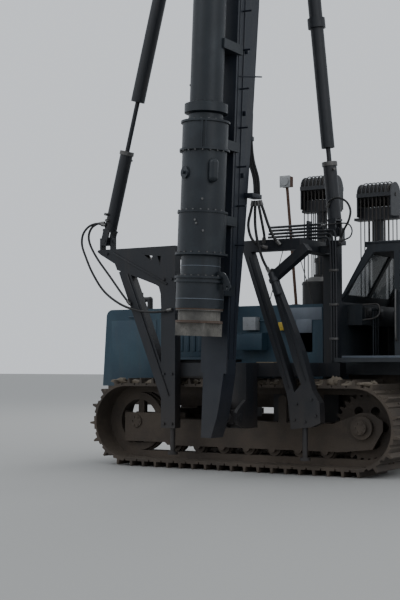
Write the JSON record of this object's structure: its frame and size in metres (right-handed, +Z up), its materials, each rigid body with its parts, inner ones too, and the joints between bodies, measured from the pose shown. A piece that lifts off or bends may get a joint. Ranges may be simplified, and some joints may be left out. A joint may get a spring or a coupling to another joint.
{
  "type": "pile driver rig",
  "caption": "Crawler pile driver with a mast hung beside the tractor, a diesel hammer on its rails, telescopic stay struts and hydraulic rope hoists.",
  "frame": {"origin": "centre of the whole part's box at ground level", "axes": "+Z up; +X to the rear of the tractor; -Y is the side that carries the mast"},
  "size_m": [5.845, 4.8969, 18.5001],
  "materials": {
    "frame_dark": "satin",
    "hood_blue": "satin",
    "cab_dark": "satin",
    "track_mud": "rough",
    "engine_grey": "rough",
    "hammer_steel": "satin",
    "helmet_dust": "rough",
    "rod_steel": "brushed",
    "pane": "smooth",
    "seat_cover": "matte",
    "rust_paint": "worn"
  },
  "bodies": {
    "tractor": {"hull": "track_mud", "engine": "engine_grey", "hood": "hood_blue", "grille": "cab_dark", "exhaust": "rust_paint", "air_cleaner": "cab_dark", "fenders": "cab_dark", "cab_floor": "cab_dark", "cab_front": "cab_dark", "cab_sides": "cab_dark", "cab_rear": "cab_dark", "cab_roof": "cab_dark", "cab_glass": "pane", "seat": "seat_cover", "levers": "cab_dark", "track_left": "track_mud", "track_right": "track_mud", "track_wheels": "track_mud", "rollers": "track_mud", "track_frames": "track_mud", "base_frame": "frame_dark", "front_bracket": "frame_dark", "rear_bracket": "frame_dark", "foot_bracket": "frame_dark", "strut_post": "frame_dark", "hoist_barrels": "frame_dark", "hydraulic_pipes": "frame_dark", "side_boxes": "hood_blue", "work_lamp": "rust_paint"},
    "mast_cross": {"mast_cross": "frame_dark"},
    "mast": {"mast": "frame_dark", "mast_rails": "frame_dark", "mast_pegs": "frame_dark", "mast_head": "frame_dark"},
    "back_sheaves": {"back_sheaves": "rod_steel"},
    "nose_sheaves": {"nose_sheaves": "rod_steel"},
    "hammer": {"hammer": "hammer_steel", "hammer_claws": "hammer_steel", "hammer_fittings": "hammer_steel"},
    "ram": {"ram": "rod_steel"},
    "helmet": {"helmet": "helmet_dust"},
    "front_fork": {"front_fork": "frame_dark"},
    "front_strut_lower": {"front_strut_lower": "frame_dark"},
    "front_strut_upper": {"front_strut_upper": "frame_dark"},
    "rear_fork": {"rear_fork": "frame_dark"},
    "rear_strut_lower": {"rear_strut_lower": "frame_dark"},
    "rear_strut_upper": {"rear_strut_upper": "frame_dark"},
    "front_block": {"front_block": "frame_dark"},
    "rear_block": {"rear_block": "frame_dark"},
    "front_sheaves": {"front_sheaves": "rod_steel"},
    "rear_sheaves": {"rear_sheaves": "rod_steel"},
    "cab_door": {"cab_door": "cab_dark"},
    "front_jack": {"front_jack": "rust_paint"},
    "rear_jack": {"rear_jack": "rust_paint"}
  },
  "joints": [
    {"name": "side_tilt", "type": "hinge", "parent": "tractor", "child": "mast_cross", "pos_m": [0.3325, -1.2715, 0.75], "axis": [1, 0, 0], "range_deg": [-7, 7]},
    {"name": "fore_tilt", "type": "hinge", "parent": "mast_cross", "child": "mast", "pos_m": [0.3325, -1.2715, 0.75], "axis": [0, 1, 0], "range_deg": [-15, 4.7]},
    {"name": "back_sheave_spin", "type": "hinge", "parent": "mast", "child": "back_sheaves", "pos_m": [1.03802, -1.5015, 18.31584], "axis": [0.9992, 0, -0.0401], "continuous": true},
    {"name": "nose_sheave_spin", "type": "hinge", "parent": "mast", "child": "nose_sheaves", "pos_m": [1.03802, -2.0615, 18.31584], "axis": [0.9992, 0, -0.0401], "continuous": true},
    {"name": "hammer_lift", "type": "slide", "parent": "mast", "child": "hammer", "axis": [0.0401, 0, 0.9992], "range_m": [-1, 9.5]},
    {"name": "ram_stroke", "type": "slide", "parent": "hammer", "child": "ram", "axis": [0.0401, 0, 0.9992], "range_m": [0, 2.4]},
    {"name": "helmet_drop", "type": "slide", "parent": "hammer", "child": "helmet", "axis": [0.0401, 0, 0.9992], "range_m": [-0.25, 0]},
    {"name": "front_foot_roll", "type": "hinge", "parent": "tractor", "child": "front_fork", "pos_m": [-1.9275, -0.8815, 3.18], "axis": [1, 0, 0], "range_deg": [-8.91, 8.91]},
    {"name": "front_foot_pitch", "type": "hinge", "parent": "front_fork", "child": "front_strut_lower", "pos_m": [-1.9275, -0.8815, 3.18], "axis": [0, 1, 0.0098], "range_deg": [-18.41, 5.8]},
    {"name": "front_strut_slide", "type": "slide", "parent": "front_strut_lower", "child": "front_strut_upper", "axis": [0.2585, -0.0094, 0.966], "range_m": [-0.6597, 0.2071]},
    {"name": "rear_foot_roll", "type": "hinge", "parent": "tractor", "child": "rear_fork", "pos_m": [1.3925, -0.3215, 3.18], "axis": [1, 0, 0], "range_deg": [-8.9, 8.9]},
    {"name": "rear_foot_pitch", "type": "hinge", "parent": "rear_fork", "child": "rear_strut_lower", "pos_m": [1.3925, -0.3215, 3.18], "axis": [0, 0.9975, 0.0704], "range_deg": [-18.45, 5.82]},
    {"name": "rear_strut_slide", "type": "slide", "parent": "rear_strut_lower", "child": "rear_strut_upper", "axis": [-0.0619, -0.0703, 0.9956], "range_m": [-0.1266, 0.4029]},
    {"name": "front_block_lift", "type": "slide", "parent": "tractor", "child": "front_block", "axis": [0, 0, 1], "range_m": [-0.5, 0.6]},
    {"name": "rear_block_lift", "type": "slide", "parent": "tractor", "child": "rear_block", "axis": [0, 0, 1], "range_m": [-0.4, 0.6]},
    {"name": "front_sheave_spin", "type": "hinge", "parent": "front_block", "child": "front_sheaves", "pos_m": [0.1325, 1.8285, 4.125], "axis": [1, 0, 0], "continuous": true},
    {"name": "rear_sheave_spin", "type": "hinge", "parent": "rear_block", "child": "rear_sheaves", "pos_m": [1.0725, 1.8285, 3.945], "axis": [1, 0, 0], "continuous": true},
    {"name": "door_swing", "type": "hinge", "parent": "tractor", "child": "cab_door", "pos_m": [2.0665, 1.6635, 1.54], "axis": [0, 0, -1], "range_deg": [0, 100]},
    {"name": "front_jack_drop", "type": "slide", "parent": "tractor", "child": "front_jack", "axis": [0, 0, 1], "range_m": [-0.2, 0]},
    {"name": "rear_jack_drop", "type": "slide", "parent": "tractor", "child": "rear_jack", "axis": [0, 0, 1], "range_m": [-0.2, 0]}
  ],
  "couplings": [
    {"joint": "front_foot_roll", "follows": "side_tilt", "ratio": 1.266},
    {"joint": "front_foot_pitch", "follows": "fore_tilt", "ratio": 1.224},
    {"joint": "front_strut_slide", "follows": "fore_tilt", "m_per_rad": 2.518},
    {"joint": "rear_foot_roll", "follows": "side_tilt", "ratio": 1.265},
    {"joint": "rear_foot_pitch", "follows": "fore_tilt", "ratio": 1.227},
    {"joint": "rear_strut_slide", "follows": "fore_tilt", "m_per_rad": -1.537}
  ]
}
